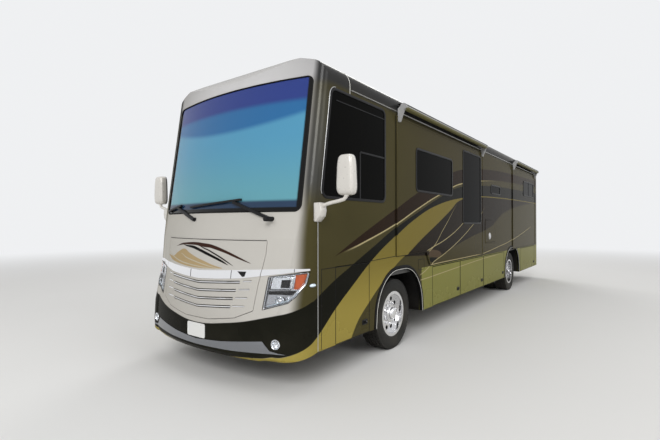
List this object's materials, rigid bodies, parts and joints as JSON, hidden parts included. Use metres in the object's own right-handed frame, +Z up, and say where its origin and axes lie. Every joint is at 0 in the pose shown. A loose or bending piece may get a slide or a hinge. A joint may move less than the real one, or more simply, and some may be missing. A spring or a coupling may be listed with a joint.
{
  "type": "class A motorhome",
  "caption": "Rear-engined motorhome with slide-out rooms, hinged storage bays, lifting front hood and rear engine door, entry door and steered dual-axle wheels.",
  "frame": {"origin": "on the ground, midway along and across the vehicle", "axes": "+X to the vehicle's left, +Y to its rear, +Z up"},
  "size_m": [3.4202, 11.5691, 3.9],
  "materials": {
    "cap_paint": "metallic clear coat",
    "hood_paint": "metallic clear coat",
    "side_paint": "metallic clear coat",
    "bright_trim": "bright",
    "engine_door_paint": "metallic clear coat",
    "roof_white": "gel coat",
    "black_steel": "satin",
    "deck_panel": "matt",
    "cast_metal": "painted casting",
    "windshield_glass": "tinted",
    "dark_glass": "dark tint",
    "lamp_clear": "clear lens",
    "lamp_red": "lens",
    "tyre": "moulded rubber",
    "polished_aluminium": "polished",
    "awning_white": "satin",
    "black_plastic": "moulded",
    "seat_leather": "soft"
  },
  "bodies": {
    "coach": {"ac_units": "roof_white", "bay_bulkheads": "deck_panel", "cap_trim": "bright_trim", "chassis_rails": "black_steel", "cross_members": "black_steel", "dashboard": "black_plastic", "engine": "cast_metal", "engine_cover": "deck_panel", "floor": "deck_panel", "front_axle": "black_steel", "front_cap": "cap_paint", "generator": "cast_metal", "headlamps": "lamp_clear", "mirrors": "cap_paint", "patio_awning": "awning_white", "rear_axle": "black_steel", "rear_cap": "cap_paint", "roof": "roof_white", "seats": "seat_leather", "side_glass": "dark_glass", "side_wall_left": "side_paint", "side_wall_right": "side_paint", "tail_lamps": "lamp_red", "windshield": "windshield_glass", "wipers": "black_plastic"},
    "hood_panel": {"hood": "hood_paint", "hood_strip": "bright_trim"},
    "rear_engine_door": {"engine_door": "engine_door_paint"},
    "entry": {"entry_door": "side_paint", "entry_door_glass": "dark_glass"},
    "slide_room_left_front": {"slide_left_front": "side_paint", "slide_glass_left_front": "dark_glass", "topper_left_front": "awning_white"},
    "slide_room_left_rear": {"slide_left_rear": "side_paint", "slide_glass_left_rear": "dark_glass", "topper_left_rear": "awning_white"},
    "slide_room_right": {"slide_right": "side_paint", "slide_glass_right": "dark_glass"},
    "steer_left": {"knuckle_left": "black_steel"},
    "steer_right": {"knuckle_right": "black_steel"},
    "wheel_front_left": {"tyre_front_left": "tyre", "rim_front_left": "polished_aluminium"},
    "wheel_front_right": {"tyre_front_right": "tyre", "rim_front_right": "polished_aluminium"},
    "wheel_rear_left": {"tyres_rear_left": "tyre", "rims_rear_left": "polished_aluminium"},
    "wheel_rear_right": {"tyres_rear_right": "tyre", "rims_rear_right": "polished_aluminium"},
    "bay_left_1": {"bay_door_left_1": "side_paint"},
    "bay_left_2": {"bay_door_left_2": "side_paint"},
    "bay_left_3": {"bay_door_left_3": "side_paint"},
    "bay_left_4": {"bay_door_left_4": "side_paint"},
    "bay_left_5": {"bay_door_left_5": "side_paint"},
    "bay_right_1": {"bay_door_right_1": "side_paint"},
    "bay_right_2": {"bay_door_right_2": "side_paint"},
    "bay_right_3": {"bay_door_right_3": "side_paint"},
    "bay_right_4": {"bay_door_right_4": "side_paint"},
    "fuel_flap": {"fuel_door": "side_paint"}
  },
  "joints": [
    {"name": "steer_left", "type": "hinge", "parent": "coach", "child": "steer_left", "pos_m": [0.935, -3.55, 0.4645], "axis": [0, 0, 1], "range_deg": [-45, 45]},
    {"name": "steer_right", "type": "hinge", "parent": "coach", "child": "steer_right", "pos_m": [-0.935, -3.55, 0.4645], "axis": [0, 0, 1], "range_deg": [-45, 45]},
    {"name": "wheel_front_left_spin", "type": "hinge", "parent": "steer_left", "child": "wheel_front_left", "pos_m": [1.105, -3.55, 0.4645], "axis": [1, 0, 0], "continuous": true},
    {"name": "wheel_rear_left_spin", "type": "hinge", "parent": "coach", "child": "wheel_rear_left", "pos_m": [1.105, 2.597, 0.4645], "axis": [1, 0, 0], "continuous": true},
    {"name": "wheel_front_right_spin", "type": "hinge", "parent": "steer_right", "child": "wheel_front_right", "pos_m": [-1.105, -3.55, 0.4645], "axis": [1, 0, 0], "continuous": true},
    {"name": "wheel_rear_right_spin", "type": "hinge", "parent": "coach", "child": "wheel_rear_right", "pos_m": [-1.105, 2.597, 0.4645], "axis": [1, 0, 0], "continuous": true},
    {"name": "hood_lift", "type": "hinge", "parent": "coach", "child": "hood_panel", "pos_m": [0, -5.66743, 1.508], "axis": [-1, 0, 0], "range_deg": [0, 70]},
    {"name": "engine_door_lift", "type": "hinge", "parent": "coach", "child": "rear_engine_door", "pos_m": [0, 5.78, 1.75], "axis": [1, 0, 0], "range_deg": [0, 70]},
    {"name": "entry_door_swing", "type": "hinge", "parent": "coach", "child": "entry", "pos_m": [-1.289, -5.095, 1.5], "axis": [0, 0, 1], "range_deg": [0, 100]},
    {"name": "bay_left_1_swing", "type": "hinge", "parent": "coach", "child": "bay_left_1", "pos_m": [1.289, -4.97, 0.7], "axis": [0, 0, -1], "range_deg": [0, 105]},
    {"name": "bay_left_2_swing", "type": "hinge", "parent": "coach", "child": "bay_left_2", "pos_m": [1.289, -2.4, 0.7], "axis": [0, 0, -1], "range_deg": [0, 105]},
    {"name": "bay_left_3_swing", "type": "hinge", "parent": "coach", "child": "bay_left_3", "pos_m": [1.289, -1.15, 0.7], "axis": [0, 0, -1], "range_deg": [0, 105]},
    {"name": "bay_left_4_swing", "type": "hinge", "parent": "coach", "child": "bay_left_4", "pos_m": [1.289, 0.23, 0.7], "axis": [0, 0, -1], "range_deg": [0, 105]},
    {"name": "bay_left_5_swing", "type": "hinge", "parent": "coach", "child": "bay_left_5", "pos_m": [1.289, 3.5, 0.7], "axis": [0, 0, -1], "range_deg": [0, 105]},
    {"name": "bay_right_1_swing", "type": "hinge", "parent": "coach", "child": "bay_right_1", "pos_m": [-1.289, -2.4, 0.7], "axis": [0, 0, 1], "range_deg": [0, 105]},
    {"name": "bay_right_2_swing", "type": "hinge", "parent": "coach", "child": "bay_right_2", "pos_m": [-1.289, -1.15, 0.7], "axis": [0, 0, 1], "range_deg": [0, 105]},
    {"name": "bay_right_3_swing", "type": "hinge", "parent": "coach", "child": "bay_right_3", "pos_m": [-1.289, 0.23, 0.7], "axis": [0, 0, 1], "range_deg": [0, 105]},
    {"name": "bay_right_4_swing", "type": "hinge", "parent": "coach", "child": "bay_right_4", "pos_m": [-1.289, 3.5, 0.7], "axis": [0, 0, 1], "range_deg": [0, 105]},
    {"name": "fuel_flap_swing", "type": "hinge", "parent": "coach", "child": "fuel_flap", "pos_m": [1.289, -2.91, 1.07], "axis": [0, 0, -1], "range_deg": [0, 105]},
    {"name": "slide_left_front_out", "type": "slide", "parent": "coach", "child": "slide_room_left_front", "axis": [1, 0, 0], "range_m": [0, 0.7]},
    {"name": "slide_left_rear_out", "type": "slide", "parent": "coach", "child": "slide_room_left_rear", "axis": [1, 0, 0], "range_m": [0, 0.45]},
    {"name": "slide_right_out", "type": "slide", "parent": "coach", "child": "slide_room_right", "axis": [-1, 0, 0], "range_m": [0, 0.65]}
  ],
  "couplings": [
    {"joint": "steer_right", "follows": "steer_left", "ratio": 1}
  ]
}
